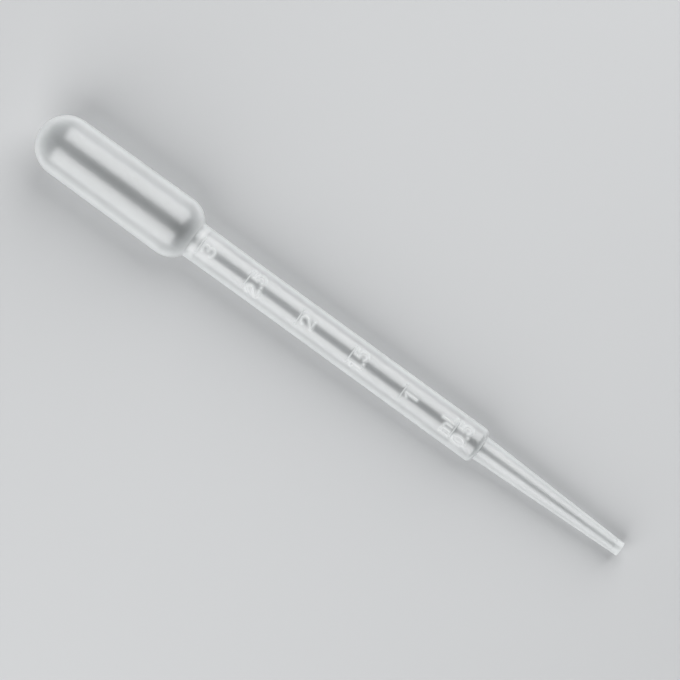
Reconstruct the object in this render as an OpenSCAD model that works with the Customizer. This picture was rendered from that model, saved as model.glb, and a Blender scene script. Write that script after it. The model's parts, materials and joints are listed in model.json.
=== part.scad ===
// Graduated dropper pipette, blow-moulded in one piece from translucent
// low-density polyethylene: a closed squeeze bulb, a straight stem, a step and a
// tapering tip that is cut square. It lies at rest on z = 0 with its tip towards
// +X, carried by the underside of the bulb's shoulder and of the stem's step.

/* [Bulb] */
// Outer diameter of the squeeze bulb at its shoulder
bulb_diameter = 13.6; // [12:0.1:15]
// How much narrower the bulb is where its dome begins, across the diameter
bulb_draft = 0.3; // [0:0.05:0.8]
// Length from the closed end of the dome to the start of the shoulder
bulb_length = 34.6; // [26:0.2:44]
// Wall thickness of the dome, the bulb and the shoulder
bulb_wall = 0.35; // [0.25:0.05:0.5]
// Radius of the round shoulder that closes the bulb down to the stem
shoulder_radius = 5.85; // [5:0.05:6.4]

/* [Stem] */
// Length of the stem from the start of the shoulder to the step
stem_length = 79; // [60:0.5:100]
// Outer diameter of the straight part of the stem
stem_diameter = 7.96; // [7.4:0.02:8.6]
// Wall thickness of the stem
stem_wall = 0.5; // [0.35:0.05:0.7]
// How much wider the stem is at the neck, across the diameter
neck_flare = 0.24; // [0:0.02:0.5]
// Length over which the neck narrows to the stem
neck_taper_length = 20; // [10:1:30]
// Radius of the hollow between the shoulder and the neck
neck_fillet = 0.7; // [0.4:0.05:1.2]
// Radius of the rounded step at the lower end of the stem
step_radius = 1.1; // [0.9:0.05:1.2]

/* [Tip] */
// Length of the tip from the step to its cut end
tip_length = 36.4; // [28:0.2:50]
// Outer diameter of the tip at the step
tip_root_diameter = 5.6; // [5.2:0.05:5.9]
// Outer diameter of the tip at its cut end
tip_end_diameter = 3.06; // [2.8:0.02:3.6]
// Wall thickness of the tip at the step
tip_wall = 0.55; // [0.4:0.05:0.7]
// Radius of the hollow between the step and the tip
tip_fillet = 0.25; // [0.15:0.05:0.5]
// Diameter of the opening at the cut end
orifice_diameter = 2; // [1.4:0.05:2.3]
// Length of the straight bore behind the opening
orifice_length = 4; // [2:0.5:8]

/* [Graduation marks] */
// Distance from the step up to the lowest mark
first_mark = 6.7; // [4:0.1:10]
// Distance between neighbouring marks, of which the stem has as many as fit
mark_spacing = 13.3; // [8:0.1:20]
// How much closer the highest mark is, because the neck holds more
last_mark_shortening = 1.2; // [0:0.1:2]
// Least distance from the round of the shoulder to the highest mark
mark_clearance = 0.5; // [0.3:0.1:5]
// Length of each mark across the stem
mark_length = 3.8; // [2:0.1:5]
// Width of each mark along the stem
mark_width = 0.35; // [0.2:0.05:0.6]
// Height of each mark above the stem
mark_height = 0.1; // [0.05:0.01:0.2]

/* [Hidden] */
$fn = 128;

// Largest turn between neighbouring points of an arc
arc_step = 5;
// Turn of the shell about its axis, which keeps the seam of its surfaces clear
// of the line that it rests on
seam_turn = 93.75;
// Length of stem that the marks above the lowest one can use, and the highest
// mark, counted from 0 at the step
mark_room = stem_length - first_mark + last_mark_shortening - shoulder_radius - mark_clearance;
top_mark = floor(mark_room / mark_spacing);
// Radius of a mark's round top, which is as wide as the mark where it meets the stem
mark_round = (mark_height ^ 2 + (mark_width / 2) ^ 2) / (2 * mark_height);

// Radii of the outer skin
bulb_r = bulb_diameter / 2;
dome_r = bulb_r - bulb_draft / 2;
stem_r = stem_diameter / 2;
neck_r = stem_r + neck_flare / 2;
tip_root_r = tip_root_diameter / 2;
tip_end_r = tip_end_diameter / 2;
orifice_r = orifice_diameter / 2;

// Places along the axis, counted from the closed end
shoulder_at = bulb_length;
step_at = bulb_length + stem_length;
orifice_at = step_at + tip_length - orifice_length;
total_length = step_at + tip_length;

// Centres of the two round corners, as [radius, place along the axis]
shoulder_centre = [bulb_r - shoulder_radius, shoulder_at];
step_centre = [stem_r - step_radius, step_at - step_radius];

// Lean of the axis when one straight line touches the shoulder's round and,
// further on, another round
function lean_onto(centre, r) =
    let (d = centre - shoulder_centre)
    asin((shoulder_radius - r) / norm(d)) - atan2(d[0], d[1]);

// The pipette tips forward until its step or the rim of its tip touches
lean = min(
    lean_onto(step_centre, step_radius),
    lean_onto([tip_end_r, total_length], 0)
);

// Height of the closed end's centre line above the surface, and the middle of
// the length that the leaning pipette covers
rest_height = shoulder_centre * [cos(lean), sin(lean)] + shoulder_radius;
back_x = dome_r * cos(lean) - dome_r;
front_x = total_length * cos(lean) + tip_end_r * sin(lean);
middle_x = (back_x + front_x) / 2;

// The direction out of a wall whose radius falls at an angle, and along it
function out_of_wall(fall) = [cos(fall), sin(fall)];
function along_wall(fall) = [-sin(fall), cos(fall)];

// Points along an arc, counted from the outward direction towards the tip
function arc(centre, r, from, to) =
    let (steps = ceil(abs(to - from) / arc_step))
    [for (i = [0:steps]) let (a = from + (to - from) * i / steps) centre + r * [cos(a), sin(a)]];

// A round corner of radius r, followed by the hollow of radius hollow_r that
// touches both it and the wall, which starts at a point and falls at an angle
function rounded_drop(corner, r, hollow_r, wall, fall) =
    let (from = wall + hollow_r * out_of_wall(fall), way = along_wall(fall))
    let (apart = from - corner, ahead = apart * way)
    let (beyond = sqrt(ahead * ahead - apart * apart + (r + hollow_r) ^ 2) - ahead)
    let (hollow = from + beyond * way)
    let (turn = atan2(hollow[1] - corner[1], hollow[0] - corner[0]))
    concat(arc(corner, r, 0, turn), arc(hollow, hollow_r, 180 + turn, 180 + fall));

// One skin of the shell, from its pole to the end of the tip's taper. The outer
// skin has no depth, and the inner one lies a wall's thickness in on each stretch
function skin(bulb_in, stem_in, tip_in, end_r, end_at) =
    let (neck = [neck_r - stem_in, shoulder_at])
    let (stem = [stem_r - stem_in, shoulder_at + neck_taper_length])
    let (root = [tip_root_r - tip_in, step_at])
    let (neck_fall = atan2(neck[0] - stem[0], neck_taper_length))
    let (tip_fall = atan2(root[0] - end_r, end_at - step_at))
    let (shoulder_r = shoulder_radius - bulb_in, step_r = step_radius - stem_in)
    concat(
        arc([0, dome_r], dome_r - bulb_in, -90, 0),
        rounded_drop(shoulder_centre, shoulder_r, neck_fillet + stem_in, neck, neck_fall),
        [stem],
        rounded_drop(step_centre, step_r, tip_fillet + tip_in, root, tip_fall),
        [[end_r, end_at]]
    );

function reversed(points) = [for (i = [len(points) - 1:-1:0]) points[i]];

// Half of the shell's lengthwise section, as [radius, place along the axis]
shell_section = concat(
    skin(0, 0, 0, tip_end_r, total_length),
    [[orifice_r, total_length]],
    reversed(skin(bulb_wall, stem_wall, tip_wall, orifice_r, orifice_at))
);

// One raised graduation mark, a round-topped rib on the upper side of the stem
module mark(at) {
    up_the_neck = max(0, shoulder_at + neck_taper_length - at) / neck_taper_length;
    top_r = stem_r + (neck_r - stem_r) * up_the_neck + mark_height;
    intersection() {
        rotate_extrude()
            translate([top_r - mark_round, at])
                circle(mark_round);
        translate([-top_r, -mark_length / 2, at - mark_round])
            cube([top_r, mark_length, 2 * mark_round]);
    }
}

// The shell stands on its closed end along +Z here; its marks face -X
module upright_pipette() {
    rotate([0, 0, seam_turn])
        rotate_extrude()
            polygon(shell_section);
    for (i = [0:top_mark]) {
        closer = i == top_mark ? last_mark_shortening : 0;
        mark(step_at - first_mark - i * mark_spacing + closer);
    }
}

module pipette() {
    color([0.9, 0.91, 0.9, 0.8])
        translate([-middle_x, 0, rest_height])
            rotate([0, 90 + lean, 0])
                upright_pipette();
}

pipette();
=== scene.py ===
# %% [markdown]
# # A graduated dropper pipette
# The part is a disposable pipette, blow-moulded in one go from milky low-density
# polyethylene: a closed bulb to squeeze, a straight stem with raised graduations, and
# a thin tip cut off square. The CAD model is loaded first and stays as it is. The
# lesson then builds the same shell again as a fine surface that carries the raised
# numbers, gives it its plastic, and sets up a small studio round it.

# %% Load the CAD model
import json

import bpy
import numpy as np
from mathutils import Matrix, Vector


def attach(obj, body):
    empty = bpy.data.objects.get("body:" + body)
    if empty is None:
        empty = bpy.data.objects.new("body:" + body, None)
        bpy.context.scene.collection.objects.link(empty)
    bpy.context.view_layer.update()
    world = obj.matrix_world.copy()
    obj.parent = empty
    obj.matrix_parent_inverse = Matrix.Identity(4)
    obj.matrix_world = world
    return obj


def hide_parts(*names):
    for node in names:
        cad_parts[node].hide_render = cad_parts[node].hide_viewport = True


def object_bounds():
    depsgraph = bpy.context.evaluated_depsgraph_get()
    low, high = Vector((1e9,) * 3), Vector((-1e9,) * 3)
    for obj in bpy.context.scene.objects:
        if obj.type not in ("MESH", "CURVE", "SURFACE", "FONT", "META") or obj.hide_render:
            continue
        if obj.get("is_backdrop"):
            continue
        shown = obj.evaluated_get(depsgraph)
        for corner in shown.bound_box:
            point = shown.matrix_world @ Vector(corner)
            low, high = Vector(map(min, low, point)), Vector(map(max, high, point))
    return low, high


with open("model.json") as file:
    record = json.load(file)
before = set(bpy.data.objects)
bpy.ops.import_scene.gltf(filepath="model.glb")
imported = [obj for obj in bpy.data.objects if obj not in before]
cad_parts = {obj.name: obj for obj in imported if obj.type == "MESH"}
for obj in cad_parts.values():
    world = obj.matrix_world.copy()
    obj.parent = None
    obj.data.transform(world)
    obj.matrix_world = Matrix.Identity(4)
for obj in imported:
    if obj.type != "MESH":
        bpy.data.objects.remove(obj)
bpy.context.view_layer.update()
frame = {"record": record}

# %% [markdown]
# ## The pipette's own axis
# The pipette lies on a table with its tip lower than its bulb, so its axis leans a
# little. The record gives the middle and the direction of the bore behind the cut end,
# and the axis follows from them. Every point of the shell is then given by three
# numbers: how far along the axis, how far out from it, and the turn round it.

# %% The axis, from the bore in the record
MM = 0.001
bore = next(m for m in frame["record"]["mounts"] if m["name"] == "orifice")
along = np.array(bore["axis"]) / np.linalg.norm(bore["axis"])
across = np.array([0.0, 1.0, 0.0])
upward = np.cross(along, across)
cut_end = np.array(bore["pos_m"]) + along * bore["dims"]["length_mm"] / 2 * MM
total_length = 150.0
closed_end = cut_end - along * total_length * MM
print("closed end of the axis, mm:", np.round(closed_end / MM, 3))

# %% [markdown]
# ## The lengthwise profile
# A blow-moulded shell is round all the way, so one line from the closed end to the cut
# end describes its outside, and a second line, a wall's thickness further in, its
# inside. Each line is a row of points (radius, place along the axis): a dome, the
# barrel of the bulb, a round shoulder that falls into a hollow at the neck, the stem,
# a rounded step and the tapering tip. The hollows are arcs that touch both neighbours,
# which is what makes the light run over them without a break.

# %% Sizes of the shell, in millimetres
barrel_end = 34.6
dome_radius, shoulder_radius = 6.65, 5.85
bulb_radius, neck_radius, stem_radius = 6.8, 4.1, 3.98
neck_taper, step_at = 20.0, 113.6
step_radius, tip_root_radius, tip_end_radius = 1.1, 2.8, 1.53
neck_hollow, tip_hollow = 0.7, 0.25
bulb_wall, stem_wall, tip_wall = 0.35, 0.5, 0.55
bore_radius, bore_start = bore["dims"]["r_mm"], total_length - bore["dims"]["length_mm"]
print("bulb", 2 * bulb_radius, "mm, stem", 2 * stem_radius, "mm,",
      "cut end", 2 * tip_end_radius, "mm")


# %% Arcs, and a corner with its hollow
def arc(centre, radius, start, stop, step):
    """Points at centre + radius (cos a, sin a), with a from start to stop degrees, and
    at most step degrees from each to the next."""
    count = int(np.ceil(abs(stop - start) / step)) + 1
    turn = np.radians(np.linspace(start, stop, count))
    return centre + radius * np.column_stack((np.cos(turn), np.sin(turn)))


def rounded_drop(corner, radius, hollow_radius, wall, fall, step):
    """A round corner and the hollow after it, which is small and takes half as many
    points. The hollow's centre lies hollow_radius outside a wall that falls at an angle,
    and radius + hollow_radius from the corner's centre, so it is where a line meets a
    circle."""
    out = np.array([np.cos(fall), np.sin(fall)])
    way = np.array([-np.sin(fall), np.cos(fall)])
    start = wall + hollow_radius * out
    apart = start - corner
    ahead = apart @ way
    reach = np.sqrt(ahead**2 - apart @ apart + (radius + hollow_radius) ** 2) - ahead
    hollow = start + reach * way
    turn = np.degrees(np.arctan2(*(hollow - corner)[::-1]))
    return np.vstack((
        arc(corner, radius, 0, turn, step),
        arc(hollow, hollow_radius, 180 + turn, 180 + np.degrees(fall), 2 * step),
    ))


quarter = arc(np.zeros(2), 1.0, 0, 90, 30)
print("a quarter circle in steps of 30 degrees:", quarter.round(2).tolist())


# %% The outside and the inside line
outer_arc_step, inner_arc_step = 3, 6


def skin_line(bulb_in, stem_in, tip_in, end_radius, end_at, step):
    """One line of the shell, a wall's thickness in from the outside on each stretch,
    with points every step degrees on its dome and shoulder, and half as many on the
    small round of the stem's step."""
    neck = np.array([neck_radius - stem_in, barrel_end])
    stem = np.array([stem_radius - stem_in, barrel_end + neck_taper])
    root = np.array([tip_root_radius - tip_in, step_at])
    shoulder = np.array([bulb_radius - shoulder_radius, barrel_end])
    ledge = np.array([stem_radius - step_radius, step_at - step_radius])
    neck_fall = np.arctan2(neck[0] - stem[0], neck_taper)
    tip_fall = np.arctan2(root[0] - end_radius, end_at - step_at)
    bulb_round, step_round = shoulder_radius - bulb_in, step_radius - stem_in
    return np.vstack((
        arc(np.array([0.0, dome_radius]), dome_radius - bulb_in, -90, 0, step),
        rounded_drop(shoulder, bulb_round, neck_hollow + stem_in, neck, neck_fall, step),
        stem,
        rounded_drop(ledge, step_round, tip_hollow + tip_in, root, tip_fall, 2 * step),
        [end_radius, end_at],
    ))


outer_line = skin_line(0, 0, 0, tip_end_radius, total_length, outer_arc_step)
inner_line = skin_line(
    bulb_wall, stem_wall, tip_wall, bore_radius, bore_start, inner_arc_step
)
print("points on the lines, outside:", len(outer_line), "inside:", len(inner_line))

# %% [markdown]
# ## Lettering cut by a round tool
# The numbers and the cross lines are raised on the stem, because the mould maker cut
# them into the mould with a small ball-nosed tool. Such a tool follows a single line
# and leaves a groove with a round bottom, so each sign is drawn here as the line that
# the tool follows, on a height of 1. Straight strokes need only their ends, and round
# ones are pieces of ellipses.

# %% Signs as tool paths
bow_points = 13


def bow(centre_x, centre_y, half_wide, half_high, start, stop):
    """Points of an ellipse, at the centre + (half_wide cos a, half_high sin a), with a
    from start to stop degrees."""
    turn = np.radians(np.linspace(start, stop, bow_points))
    return np.column_stack((
        centre_x + half_wide * np.cos(turn), centre_y + half_high * np.sin(turn)
    ))


signs = {
    "0": [bow(0.3, 0.5, 0.27, 0.47, 0, 360)],
    "1": [np.array([[0.06, 0.78], [0.26, 0.97], [0.26, 0.03]])],
    "2": [np.vstack((
        bow(0.3, 0.69, 0.26, 0.28, 165, -38), [[0.04, 0.03], [0.56, 0.03]]
    ))],
    "3": [
        bow(0.27, 0.735, 0.24, 0.235, 150, -90), bow(0.27, 0.265, 0.28, 0.235, 90, -150)
    ],
    "5": [np.vstack((
        [[0.5, 0.97], [0.1, 0.97], [0.07, 0.54]], bow(0.27, 0.33, 0.27, 0.3, 125, -145)
    ))],
    ".": [np.array([[0.055, 0.04], [0.065, 0.04]])],
    "m": [
        np.array([[0.04, 0.03], [0.04, 0.62]]),
        np.vstack((bow(0.2, 0.44, 0.16, 0.17, 180, 0), [[0.36, 0.03]])),
        np.vstack((bow(0.52, 0.44, 0.16, 0.17, 180, 0), [[0.68, 0.03]])),
    ],
    "L": [np.array([[0.06, 0.97], [0.06, 0.03], [0.46, 0.03]])],
}
print("signs drawn:", " ".join(signs))

# %% [markdown]
# ## Rows of signs, and where they stand
# The scale counts millilitres from the tip upwards, and each number stands on the tip
# side of its cross line, so that it is upright when the pipette is held with its tip
# down. The unit stands above the lowest line. A row is set as a printer sets type: each
# sign takes its own width and a gap, and the row is then centred on the stem.

# %% Setting a row
sign_widths = {
    "0": 0.6, "1": 0.36, "2": 0.6, "3": 0.58, "5": 0.58, ".": 0.12, "m": 0.72, "L": 0.5
}
sign_gap = 0.13


def written(text, height, base):
    """Tool paths for a row of signs of that height, as points (round the stem, along
    the axis). The row is centred on the stem and stands on base, with its top towards
    the bulb."""
    widths = [sign_widths[sign] for sign in text]
    lefts = np.cumsum([0] + [width + sign_gap for width in widths[:-1]])
    middle = (lefts[-1] + widths[-1]) / 2
    return [
        np.column_stack((path[:, 0] + left - middle, -path[:, 1])) * height + [0, base]
        for sign, left in zip(text, lefts)
        for path in signs[sign]
    ]


print("tool paths in the row 2.5:", len(written("2.5", 1.0, 0.0)))

# %% The graduations
marks_at = {"3": 41.6, "2.5": 53.7, "2": 67.0, "1.5": 80.3, "1": 93.6, "0.5": 106.9}
mark_length, sign_height, sign_clear = 3.8, 3.0, 0.5

cross_lines = [
    np.array([[-1, 0], [1, 0]]) * mark_length / 2 + [0, at] for at in marks_at.values()
]
sign_paths = [
    path for text, at in marks_at.items()
    for path in written(text, sign_height, at + sign_clear + sign_height)
] + written("mL", sign_height, marks_at["0.5"] - sign_clear)
print(len(cross_lines), "cross lines and", len(sign_paths), "tool paths for the signs")

# %% [markdown]
# ## One grid for the whole shell
# The shell is a single closed surface: rings of points run from the closed end over
# the outside to the cut end, turn in over the cut, and run back on the inside. Every
# ring has its points at the same turns, so the two together are a grid. Points lie
# close together only where they are needed: at the neck and the lettering, and at the
# parting line on both sides, which comes after them.

# %% The turns of every ring
fine_step, fine_reach = 0.072, 2.6
letter_turn = np.degrees(fine_reach / stem_radius)
fine_turns = np.linspace(-letter_turn, letter_turn, int(2 * fine_reach / fine_step) + 1)
plain_step, least_step, parting_gap = 5.5, 2, 7
plain_turns = np.arange(
    letter_turn + plain_step, 360 - letter_turn - least_step, plain_step
)
near_parting = np.array([-5, -3.6, -2.3, -1.1, 0, 1.1, 2.3, 3.6, 5])
from_parting = np.minimum(np.abs(plain_turns - 90), np.abs(plain_turns - 270))
plain_turns = plain_turns[from_parting > parting_gap]
turns = np.radians(np.sort(np.concatenate((
    fine_turns % 360, plain_turns, 90 + near_parting, 270 + near_parting
))))
print("points in a ring:", len(turns))


# %% The places of the rings
def ring_places(line, spacing, fine=()):
    """Rings (radius, place along the axis) on a line: its own points, evenly spread
    ones between them, and close ones on the fine stretches, given along the axis. The
    places are rounded so that those which two parts share are counted once."""
    run = np.concatenate(([0], np.cumsum(np.linalg.norm(np.diff(line, axis=0), axis=1))))
    parts = [
        np.linspace(a, b, max(1, int(np.ceil((b - a) / spacing))) + 1)
        for a, b in zip(run[:-1], run[1:])
    ]
    places = np.unique(np.round(np.concatenate(parts), 6))
    for low, high in fine:
        low, high = np.interp([low, high], line[:, 1], run)
        close = np.linspace(low, high, int(np.ceil((high - low) / fine_step)) + 1)
        outside = (places < low - fine_step) | (places > high + fine_step)
        places = np.sort(np.concatenate((places[outside], close)))
    return np.column_stack([np.interp(places, run, line[:, k]) for k in (0, 1)])


outer_spacing, inner_spacing = 1.8, 3.0
line_reach, painted_glow_reach = 0.3, 0.75
neck_ring_at, neck_ring_reach = 40.8, 0.9
lettered = [
    [at - line_reach, at + sign_clear + sign_height + painted_glow_reach]
    for at in marks_at.values()
]
# The first stretch also covers the ring at the neck, and the last one the unit.
lettered[0][0] = neck_ring_at - neck_ring_reach
lettered[-1][0] -= sign_clear + sign_height + painted_glow_reach
outer_rings = ring_places(outer_line, outer_spacing, lettered)
inner_rings = ring_places(inner_line, inner_spacing)
print("rings outside:", len(outer_rings), "inside:", len(inner_rings))

# %% [markdown]
# ## How high the lettering stands
# The raised work is a height added to the outside. For every point of the grid, numpy
# measures how far the nearest tool path is, and a round ridge rises where that is less
# than the tool's half width. The same distance gives a mask for the finish. The tooled
# steel is rougher than the polished mould, which leaves the signs whiter and duller.
# A faint whiter haze round them is painted light, which lightens the dark middle line
# round the signs.

# %% Distances and ridges
def distance_to(paths, x, y):
    """Distance from each point (x, y) to the nearest piece of any path: the point is
    dropped onto each straight piece, held within its ends, and measured."""
    starts = np.vstack([p[:-1] for p in paths])
    ways = np.vstack([np.diff(p, axis=0) for p in paths])
    from_start = np.stack((x, y), -1)[:, None, :] - starts
    share = np.clip((from_start * ways).sum(-1) / (ways**2).sum(-1), 0, 1)
    return np.linalg.norm(from_start - share[..., None] * ways, axis=-1).min(1)


def ridge(distance, half_width):
    """A round-topped ridge of height 1: the squared cosine of a quarter turn spread
    over the half width, and nothing beyond it."""
    return np.cos(np.pi / 2 * np.clip(distance / half_width, 0, 1)) ** 2


print("ridge from its middle to its foot:", ridge(np.linspace(0, 1, 5), 1.0).round(2))

# %% The raised lettering and its mask
mark_half_width, mark_height = 0.2, 0.1
tool_half_width, sign_raise, painted_glow_share = 0.28, 0.11, 0.6

around = np.where(turns > np.pi, turns - 2 * np.pi, turns) * stem_radius
lettering_and_painted_glow = np.zeros((len(outer_rings), len(turns)))
raised = np.zeros_like(lettering_and_painted_glow)
columns = np.flatnonzero(np.abs(around) < fine_reach + painted_glow_reach)
for low, high in lettered:
    rows = np.flatnonzero((outer_rings[:, 1] > low) & (outer_rings[:, 1] < high))
    x, y = (grid.ravel() for grid in np.meshgrid(around[columns], outer_rings[rows, 1]))
    line_ridge = ridge(distance_to(cross_lines, x, y), mark_half_width)
    from_sign = distance_to(sign_paths, x, y)
    sign_ridge = ridge(from_sign, tool_half_width)
    # The haze round the signs is painted light: it lightens the dark middle line there.
    painted_glow = painted_glow_share * ridge(from_sign, painted_glow_reach)
    mask = np.maximum(np.maximum(line_ridge, sign_ridge), painted_glow)
    height = np.maximum(mark_height * line_ridge, sign_raise * sign_ridge)
    block = np.ix_(rows, columns)
    lettering_and_painted_glow[block] = mask.reshape(len(rows), -1)
    raised[block] = height.reshape(len(rows), -1)
print("highest raised point, mm:", round(raised.max(), 3))

# %% [markdown]
# ## The mould's parting line
# A blow mould is two halves, and the hot plastic is pressed a hair's breadth into the
# joint between them. On the finished pipette that leaves a low, soft line down both
# sides and over the dome, a quarter turn from the lettering.

# %% A soft line down both sides
parting_half_width, parting_height = 0.3, 0.03
from_parting_plane = outer_rings[:, :1] * np.abs(np.cos(turns))
raised += parting_height * ridge(from_parting_plane, parting_half_width)
print("points on the parting line:", int((from_parting_plane < parting_half_width).sum()))

# %% [markdown]
# ## From the grid to a mesh
# Turning the profile round the axis gives the points. A raised point moves out at right
# angles to the profile and not straight away from the axis, so that the parting line
# keeps its height over the dome, where the surface faces along the axis. The two poles
# are single points, each closed by a fan of triangles. Nothing is left open, so light
# meets a real wall with an outside and an inside.

# %% Points of a skin
def skin_points(rings, extra=0.0):
    """closed_end + along t + (upward cos f + across sin f) r, for every ring (r, t) and
    every turn f, moved out by extra at right angles to the line of the rings."""
    step = np.gradient(rings, axis=0)
    step /= np.linalg.norm(step, axis=1, keepdims=True)
    r = rings[:, :1] + extra * step[:, 1:] + 0 * turns
    t = rings[:, 1:] - extra * step[:, :1] + 0 * turns
    out = np.cos(turns)[:, None] * upward + np.sin(turns)[:, None] * across
    return closed_end + MM * (t[..., None] * along + r[..., None] * out)


outer_skin, inner_skin = skin_points(outer_rings, raised), skin_points(inner_rings)
print("grid outside:", outer_skin.shape[:2], "inside:", inner_skin.shape[:2])


# %% The closed shell
def closed_shell(name, outer, inner):
    """A mesh whose rings run from the outer pole over the cut end to the inner pole.
    Neighbouring rings are joined by quads, and a fan of triangles closes each pole."""
    grid = np.concatenate((outer[1:], inner[::-1][:-1]))
    rings, count = grid.shape[:2]
    points = np.concatenate((grid.reshape(-1, 3), outer[:1, 0], inner[:1, 0]))
    start = np.arange(rings - 1)[:, None] * count
    here, beside = start + np.arange(count), start + np.roll(np.arange(count), -1)
    quads = np.stack((here, beside, beside + count, here + count), -1).reshape(-1, 4)
    last = (rings - 1) * count
    poles = rings * count + np.arange(2)
    fans = np.concatenate((
        np.column_stack((np.full(count, poles[0]), beside[0], here[0])),
        np.column_stack((np.full(count, poles[1]), last + here[0], last + beside[0])),
    ))
    mesh = bpy.data.meshes.new(name)
    mesh.from_pydata(points, [], quads.tolist() + fans.tolist())
    mesh.shade_smooth()
    return mesh


sharp_angle = np.radians(50)
shell = closed_shell("pipette_shell", outer_skin, inner_skin)
shell.set_sharp_from_angle(angle=sharp_angle)
pipette = bpy.data.objects.new("pipette_shell", shell)
bpy.context.scene.collection.objects.link(pipette)
print("shell:", len(shell.vertices), "points,", len(shell.polygons), "faces,",
      sum(len(face.vertices) - 2 for face in shell.polygons), "triangles")

# %% [markdown]
# ## Painted shade and light along the axis, and the thicker tip
# The mask of the lettering is only one part of the finish. Along the axis it also holds
# painted shade and painted light. Where the bulb turns into its dome and its shoulder, the
# value drops just below 0, and thinner milk lets more of the shaded floor through: painted
# shade where these rounds turn away from the side lamps. A ring at the neck gets more
# milk, painted light that lightens the dark middle line there. The whole tip is blown out
# least and stays thicker and duller. Round the two numbers at the ends of the scale the
# skin is whiter in a patch that fades out down both sides. Such a finish could be painted
# on by hand, but a table is exact and easy to change: it gives values at places along the
# axis, in millimetres, and numpy draws straight lines between them.

# %% Painted shade, painted light, the thicker tip and the whiter patches
# Less milk at the dome and shoulder is painted shade, more at the neck ring painted light.
painted_shade_share, painted_neck_light_share, tip_share, tip_rise = -0.07, 0.5, 0.1, 3
share_at = np.array([
    (1.2, 0), (2.6, painted_shade_share), (5.2, painted_shade_share), (7.5, 0),
    (33.5, 0), (35.5, painted_shade_share), (38.6, painted_shade_share),
    (neck_ring_at - neck_ring_reach, 0), (neck_ring_at, painted_neck_light_share),
    (neck_ring_at + neck_ring_reach, 0), (step_at, 0), (step_at + tip_rise, tip_share),
])
tip_and_painted_shading = np.interp(outer_rings[:, 1:], *share_at.T)

whiter_patch_share, whiter_patch_reach = 0.24, 5.0
whiter_patch_at = np.array([
    (41.5, 0), (42.2, whiter_patch_share), (44.2, whiter_patch_share), (46, 0),
    (107.1, 0), (107.8, whiter_patch_share), (109.8, whiter_patch_share), (110.8, 0),
])
whiter_patch = np.interp(outer_rings[:, 1:], *whiter_patch_at.T)
whiter_patch = whiter_patch * ridge(np.abs(around), whiter_patch_reach)
print("least and most along the axis:", round(tip_and_painted_shading.min(), 2), round(tip_and_painted_shading.max(), 2))

# %% [markdown]
# ## The mask on the mesh, and what the shell stands for
# All of this is kept on the mesh as one attribute, with a value for each point, so that
# the material can follow it wherever the shell goes. The cut end gets the full value,
# because a knife leaves polyethylene whitened. The shell then takes the place of the CAD
# solid in every picture, while the solid stays for collision.

# %% The mask, and the shell's place in the frame
outer_count = (len(outer_rings) - 1) * len(turns)
cut_ring = outer_count - len(turns)
# One mask for frost, the whitened cut end, painted shade and painted light.
frost_and_painted_shading = np.zeros(len(shell.vertices), np.float32)
frost_and_painted_shading[:outer_count] = np.minimum(lettering_and_painted_glow + tip_and_painted_shading + whiter_patch, 1)[1:].ravel()
frost_and_painted_shading[cut_ring:outer_count + len(turns)] = 1.0
shell.attributes.new("frost_and_painted_shading", "FLOAT", "POINT").data.foreach_set("value", frost_and_painted_shading)

noticeable = 0.01
milkier, clearer = (frost_and_painted_shading > noticeable).sum(), (frost_and_painted_shading < -noticeable).sum()
print("milkier points:", int(milkier), "clearer points:", int(clearer))

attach(pipette, "root")
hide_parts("pipette")

# %% [markdown]
# ## Helpers for materials
# A material in Blender is a tree of nodes: sockets on the left of a node take a plain
# value or a link, and sockets on its right give a result. Written out one by one that
# gets long, so four helpers do the wiring, and the materials below stay short enough
# to read as sentences.

# %% Node helpers
def feed(tree, socket, value):
    """Gives an input a plain value, or links another node's output to it."""
    if isinstance(value, bpy.types.NodeSocket):
        tree.links.new(value, socket)
    else:
        socket.default_value = value


def add(tree, kind, inputs=(), **settings):
    """A new node of that kind, with its own settings made and its inputs fed. Inputs
    are given by name or by number."""
    node = tree.nodes.new("ShaderNode" + kind)
    for name, value in settings.items():
        setattr(node, name, value)
    for name, value in dict(inputs).items():
        feed(tree, node.inputs[name], value)
    return node


def worked_out(tree, operation, *values):
    """The result of a Math node, whose values are numbers or outputs."""
    return add(tree, "Math", dict(enumerate(values)), operation=operation).outputs[0]


def mixed(tree, share, first, second):
    """A Mix Shader: the first shader, with a share of the second in its place."""
    return add(tree, "MixShader", {0: share, 1: first.outputs[0], 2: second.outputs[0]})


print("node helpers:", ", ".join(f.__name__ for f in (feed, add, worked_out, mixed)))

# %% [markdown]
# ## The flow of the plastic
# The plastic leaves a round nozzle as a hot hose and is drawn down before the mould
# closes on it, and air then blows it out against the mould. Seen closely, such a wall
# has faint streaks along the pipette, soft clouds where it cooled sooner or later, and
# the fine grain of the mould's surface. Both skins of the shell need all three, so they
# are one node group: it takes a place and a plain roughness, and gives back a mask for
# the colour, a roughness that varies a little, and a height. The streaks come from
# noise that is stretched along the pipette's leaning axis, which a Mapping node of the
# Texture kind does by turning the place back first and then dividing it by a length
# and a width.

# %% A node group for streaks, clouds and grain
streak_length, streak_width, cloud_size, grain_size = 70 * MM, 1.4 * MM, 8 * MM, 0.3 * MM
thinnest, thickest, roughness_swing, grain_share = 0.7, 1.3, 0.08, 0.35

flow = bpy.data.node_groups.new("drawn_flow", "ShaderNodeTree")
for name, way, kind in (
    ("Vector", "INPUT", "NodeSocketVector"),
    ("Roughness", "INPUT", "NodeSocketFloat"),
    ("Whiteness", "OUTPUT", "NodeSocketFloat"),
    ("Roughness", "OUTPUT", "NodeSocketFloat"),
    ("Height", "OUTPUT", "NodeSocketFloat"),
):
    flow.interface.new_socket(name=name, in_out=way, socket_type=kind)
given = flow.nodes.new("NodeGroupInput").outputs
made = flow.nodes.new("NodeGroupOutput").inputs

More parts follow.
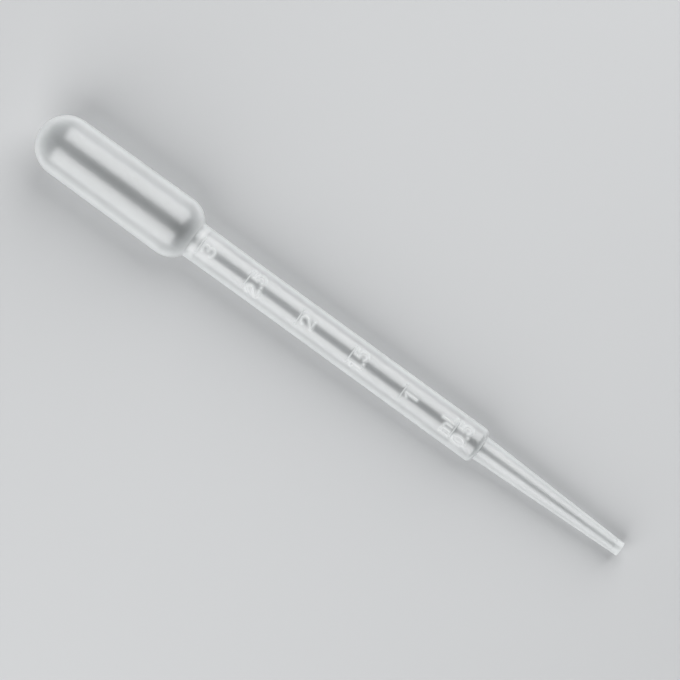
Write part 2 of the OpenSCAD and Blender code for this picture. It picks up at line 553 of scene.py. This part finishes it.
lengthwise = add(flow, "Mapping", {
    "Vector": given["Vector"],
    "Rotation": (0, np.arctan2(-along[2], along[0]), 0),
    "Scale": (streak_length, streak_width, streak_width),
}, vector_type="TEXTURE").outputs[0]
streaks, clouds, grain = (
    add(flow, "TexNoise", {"Vector": place, "Scale": scale, "Detail": detail}).outputs[0]
    for place, scale, detail in (
        (lengthwise, 1.0, 3.0), (given["Vector"], 1 / cloud_size, 2.0),
        (given["Vector"], 1 / grain_size, 2.0),
    )
)
whiteness = add(flow, "MapRange", {
    "Value": worked_out(flow, "ADD", streaks, clouds),
    "From Min": thinnest, "From Max": thickest,
})
feed(flow, made["Whiteness"], whiteness.outputs[0])
uneven = worked_out(flow, "MULTIPLY_ADD", clouds, roughness_swing, -roughness_swing / 2)
feed(flow, made["Roughness"], worked_out(flow, "ADD", given["Roughness"], uneven))
feed(flow, made["Height"], worked_out(flow, "MULTIPLY_ADD", grain, grain_share, streaks))
print("drawn_flow:", len(flow.nodes), "nodes")

# %% [markdown]
# ## How much a milky wall stops, and how much it mirrors
# Low-density polyethylene is clear plastic with tiny crystals in it, which scatter light
# as milk does. A wall of it lets through most light that meets it square on, but towards
# the edges of the pipette the line of sight runs through it at a slant, crosses far more
# milk, and the plastic turns white. What is left after a depth of milk is
# exp(-depth), and the slant makes that depth grow. A smooth skin also mirrors: little
# square on, and everything edge on, which Schlick's formula gives. Both need only the
# angle at which the surface is seen. Layer Weight gives it with the same sign from
# outside and from inside, where Fresnel would treat the inner side as glass seen from
# within and make it a full mirror.

# %% Two shares that depend on the angle
least_cosine = 0.05


def slant(tree):
    """0 where the surface is seen square on and 1 where it is seen edge on: with a
    Blend of a half, Layer Weight's Facing is one less the cosine of the angle."""
    return add(tree, "LayerWeight", {"Blend": 0.5}).outputs["Facing"]


def stopped_by(tree, depth):
    """The share of light that a depth of milk stops, 1 - exp(-depth / cosine cubed).
    One cosine is the longer way through a slanting wall. The other two stand for light
    that runs along inside the wall and comes out near the edges."""
    cosine = worked_out(tree, "SUBTRACT", 1.0, slant(tree))
    cosine = worked_out(tree, "MAXIMUM", cosine, least_cosine)
    way = worked_out(tree, "DIVIDE", depth, worked_out(tree, "POWER", cosine, 3.0))
    left = worked_out(tree, "EXPONENT", worked_out(tree, "MULTIPLY", way, -1.0))
    return worked_out(tree, "SUBTRACT", 1.0, left)


def mirrored(tree, head_on):
    """The share that a skin mirrors: head_on + (1 - head_on) slant to the fifth power."""
    rise = worked_out(tree, "POWER", slant(tree), 5.0)
    return worked_out(tree, "MULTIPLY_ADD", rise, 1.0 - head_on, head_on)


for angle in (0, 45, 70):
    left = np.exp(-0.1 / np.cos(np.radians(angle)) ** 3)
    print("a depth of 0.1 stops, at", angle, "degrees:", round(float(1 - left), 2))

# %% [markdown]
# ## The milky plastic
# A path of light through the bulb crosses four skins: in through the upper wall's
# outside and inside, and out through the lower wall's. The plastic between the two
# skins of a wall is put into the skins themselves. A volume would be nearer to nature,
# but it takes far longer to render and no exported model can carry it. The outside skin
# gets almost all the milk and most of the gloss, so that it looks the same from every
# side, and the inside skin is nearly clear. What the milk stops is lit partly from the
# front, by the Principled shader, and partly from behind, by the Translucent one, and
# the rest goes straight on through a Transparent shader, whose grey takes away the
# light that a real wall turns aside. The mask on the mesh adds milk and dulls the gloss
# where it is above 0, for real frost and whiter plastic and for painted light, and takes
# a little milk away where it is below, as painted shade.

# %% One skin of the plastic
thick_milk, thin_milk = (0.85, 0.865, 0.865, 1), (0.77, 0.785, 0.785, 1)
skin_roughness, mask_roughness, mask_milk_depth = 0.31, 0.3, 1.2
lit_from_behind, refractive_index = 0.35, 1.51
relief_height, relief_strength = 0.03 * MM, 0.35


def milky_plastic(name, depth, straight_on, head_on):
    """One skin: a share mirrored, then a share stopped by the milk, which lights up,
    and the rest sent straight on, in the colour straight_on."""
    material = bpy.data.materials.new(name)
    material.use_nodes = True
    tree = material.node_tree
    tree.nodes.clear()
    place = add(tree, "TexCoord").outputs["Object"]
    # The mask holds real frost and also painted shade and painted light.
    frost_and_painted_shading = add(tree, "Attribute", attribute_name="frost_and_painted_shading").outputs["Fac"]
    drawn = add(tree, "Group", {
        "Vector": place, "Roughness": skin_roughness,
    }, node_tree=flow).outputs
    colour = add(tree, "Mix", {
        0: drawn["Whiteness"], 6: thin_milk, 7: thick_milk,
    }, data_type="RGBA").outputs[2]
    dulled = worked_out(tree, "MAXIMUM", frost_and_painted_shading, 0.0)
    roughness = worked_out(
        tree, "MULTIPLY_ADD", dulled, mask_roughness, drawn["Roughness"]
    )
    relief = add(tree, "Bump", {
        "Strength": relief_strength, "Distance": relief_height, "Height": drawn["Height"],
    }).outputs[0]
    milk = worked_out(tree, "MULTIPLY_ADD", frost_and_painted_shading, mask_milk_depth, depth)
    front = add(tree, "BsdfPrincipled", {
        "Base Color": colour, "Roughness": roughness, "Normal": relief,
        "IOR": refractive_index, "Specular IOR Level": 0.0,
    })
    behind = add(tree, "BsdfTranslucent", {"Color": colour, "Normal": relief})
    clear = add(tree, "BsdfTransparent", {"Color": straight_on})
    gloss = add(tree, "BsdfGlossy", {
        "Color": (1, 1, 1, 1), "Roughness": roughness, "Normal": relief,
    })
    lit_milk = mixed(tree, lit_from_behind, front, behind)
    wall = mixed(tree, stopped_by(tree, milk), clear, lit_milk)
    finish = mixed(tree, mirrored(tree, head_on), wall, gloss)
    add(tree, "OutputMaterial", {"Surface": finish.outputs[0]})
    print(name, "has", len(tree.nodes), "nodes")
    return material


# %% The outside and the inside of the shell
for name, depth, straight_on, head_on in (
    ("milky_polyethylene", 0.26, (0.7, 0.71, 0.715, 1), 0.088),
    ("milky_polyethylene_inside", 0.03, (0.975, 0.975, 0.975, 1), 0.05),
):
    shell.materials.append(milky_plastic(name, depth, straight_on, head_on))

inside = np.zeros(len(shell.polygons), np.int32)
inside[outer_count:-2 * len(turns)] = 1
inside[-len(turns):] = 1
shell.polygons.foreach_set("material_index", inside)
print("faces outside:", int((inside == 0).sum()), "inside:", int(inside.sum()))

# %% [markdown]
# ## A pale sheet to lie on
# The floor is a plain sheet of pale grey paper, a shade darker than the plastic, so that
# the white edges of the pipette and its soft shadow both show. Far from the pipette the
# sheet fades out into the backdrop behind it, as a curved paper background does, so that
# no edge crosses the picture when the camera looks along the floor.

# %% The floor
paper_colour, paper_roughness = (0.5, 0.505, 0.51, 1), 0.9
sheet_half, fade_start, fade_end = 0.4, 0.13, 0.38
sheet = bpy.data.meshes.new("floor")
corners = sheet_half * np.array([(-1, -1, 0), (1, -1, 0), (1, 1, 0), (-1, 1, 0)])
sheet.from_pydata(corners, [], [(0, 1, 2, 3)])
floor = bpy.data.objects.new("floor", sheet)
bpy.context.scene.collection.objects.link(floor)
floor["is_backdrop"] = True

paper = bpy.data.materials.new("pale_paper")
paper.use_nodes = True
tree = paper.node_tree
tree.nodes.clear()
place = add(tree, "TexCoord").outputs["Object"]
far_out = add(tree, "VectorMath", {0: place}, operation="LENGTH")
fade = add(tree, "MapRange", {
    "Value": far_out.outputs["Value"], "From Min": fade_start, "From Max": fade_end,
}, interpolation_type="SMOOTHSTEP").outputs[0]
matt = add(tree, "BsdfPrincipled", {
    "Base Color": paper_colour, "Roughness": paper_roughness,
})
faded = mixed(tree, fade, matt, add(tree, "BsdfTransparent"))
add(tree, "OutputMaterial", {"Surface": faded.outputs[0]})
sheet.materials.append(paper)
print("floor:", 2 * sheet_half, "m square, plain within", fade_start, "m of its middle")

# %% [markdown]
# ## Studio light
# Milky plastic is shown best between two long softboxes. Each is mirrored as one bright
# band along the pipette, and the dark gap between them, overhead, as a thin dark line.
# Where a band lies is simple to work out: a place that is a share s of the radius out
# from the middle has its surface turned by asin(s), so it mirrors what stands at twice
# that angle from overhead. Bands that run from a fifth to five eighths of the way out ask
# for softboxes that cover from about 22 to 78 degrees. Two of equal strength light the
# floor from both sides and leave only soft shadows. They hardly reach the end of the
# dome, so a third, low and weak, stands at the bulb's end. It is there for the milk
# alone and is kept out of the gloss, which would show it as a stray spot.

# %% The softboxes
lamp_distance = 0.5


def softbox(name, bearing, low, high, length, power):
    """An area light that faces the middle of the pipette. It stands at a bearing from
    +X, has two level sides, and covers from low to high degrees from overhead."""
    lamp_data = bpy.data.lights.new(name, "AREA")
    lamp_data.shape = "RECTANGLE"
    lamp_data.size = 2 * lamp_distance * np.tan(np.radians(high - low) / 2)
    lamp_data.size_y = length
    lamp_data.energy = power
    lamp = bpy.data.objects.new(name, lamp_data)
    lean, bearing = np.radians((low + high) / 2), np.radians(bearing)
    sideways = np.sin(lean)
    lamp.location = lamp_distance * Vector((
        sideways * np.cos(bearing), sideways * np.sin(bearing), np.cos(lean)
    ))
    lamp.rotation_euler = (0, lean, bearing)
    lamp.visible_camera = False
    bpy.context.scene.collection.objects.link(lamp)
    print(name, "is", round(length, 3), "by", round(lamp_data.size, 3), "m")
    return lamp


for name, bearing in (("softbox_left", 90), ("softbox_right", -90)):
    softbox(name, bearing, low=22, high=78, length=0.5, power=2.76)
bulb_lamp = softbox("softbox_bulb_end", 180, low=74, high=90, length=0.4, power=0.7)
bulb_lamp.visible_glossy = False

# %% [markdown]
# ## The world
# The world does two jobs, and Light Path keeps them apart. To the camera, to the gloss
# of the plastic and to the light that comes through its milk it is a pale backdrop that
# darkens overhead, where a studio has no white card, so the middle of the pipette keeps
# its dark line. To every other ray it is a weak and even fill, which keeps the shadows
# open.

# %% Backdrop and fill
fill_colour, fill_strength = (0.9, 0.95, 1, 1), 0.15
backdrop_colour, backdrop_strength, overhead_strength = (0.98, 0.99, 1, 1), 0.56, 0.05
darkens_from, darkens_to = 0.1, 0.5
world = bpy.data.worlds.new("studio")
bpy.context.scene.world = world
world.use_nodes = True
tree = world.node_tree
tree.nodes.clear()
direction = add(tree, "TexCoord").outputs["Generated"]
height = add(tree, "SeparateXYZ", {0: direction}).outputs["Z"]
backdrop = add(tree, "MapRange", {
    "Value": height, "From Min": darkens_from, "From Max": darkens_to,
    "To Min": backdrop_strength, "To Max": overhead_strength,
}).outputs[0]
ray = add(tree, "LightPath").outputs
seen = worked_out(tree, "MAXIMUM", ray["Is Camera Ray"], ray["Is Glossy Ray"])
seen = worked_out(tree, "MAXIMUM", seen, ray["Is Transmission Ray"])
fill = add(tree, "Background", {"Color": fill_colour, "Strength": fill_strength})
shown = add(tree, "Background", {"Color": backdrop_colour, "Strength": backdrop})
add(tree, "OutputWorld", {"Surface": mixed(tree, seen, fill, shown).outputs[0]})
print("backdrop:", backdrop_strength, "at the sides,", overhead_strength, "overhead")

# %% [markdown]
# ## The camera
# The camera looks straight down on the pipette's axis from 0.6 m, with the pipette
# running from the bulb at the upper left to the tip at the lower right. From so far off
# the shell hardly shows any perspective, and both ends keep their true widths. The lens
# follows from the width that has to fit: with a sensor of 36 mm, the focal length is 36
# times the distance over that width.

# %% The camera
tilt_in_picture = np.radians(36.03)
right = np.cos(tilt_in_picture) * along + np.sin(tilt_in_picture) * across
top = -np.sin(tilt_in_picture) * along + np.cos(tilt_in_picture) * across
distance, seen_width = 0.6, 142.46 * MM
aim_right, aim_down = 1.95, 0.23
aim = closed_end + (total_length / 2 * along + aim_right * right - aim_down * top) * MM

sensor_width = 36
camera_data = bpy.data.cameras.new("camera")
camera_data.sensor_width = sensor_width
camera_data.lens = sensor_width * distance / seen_width
camera = bpy.data.objects.new("camera", camera_data)
facing = np.column_stack((right, top, upward, aim + upward * distance))
camera.matrix_world = Matrix(np.vstack((facing, [0, 0, 0, 1])).tolist())
bpy.context.scene.collection.objects.link(camera)
bpy.context.scene.camera = camera
bpy.context.scene.view_settings.view_transform = "Standard"
print("lens, mm:", round(camera_data.lens, 1))

# %% [markdown]
# ## The size of the shell
# The shell that is seen has to stay in step with the CAD model, so its box is measured
# and kept.

# %% Measure and finish
visual_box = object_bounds()
visual_sides = visual_box[1] - visual_box[0]
print("visual model, mm:", [round(1000 * side, 2) for side in visual_sides])
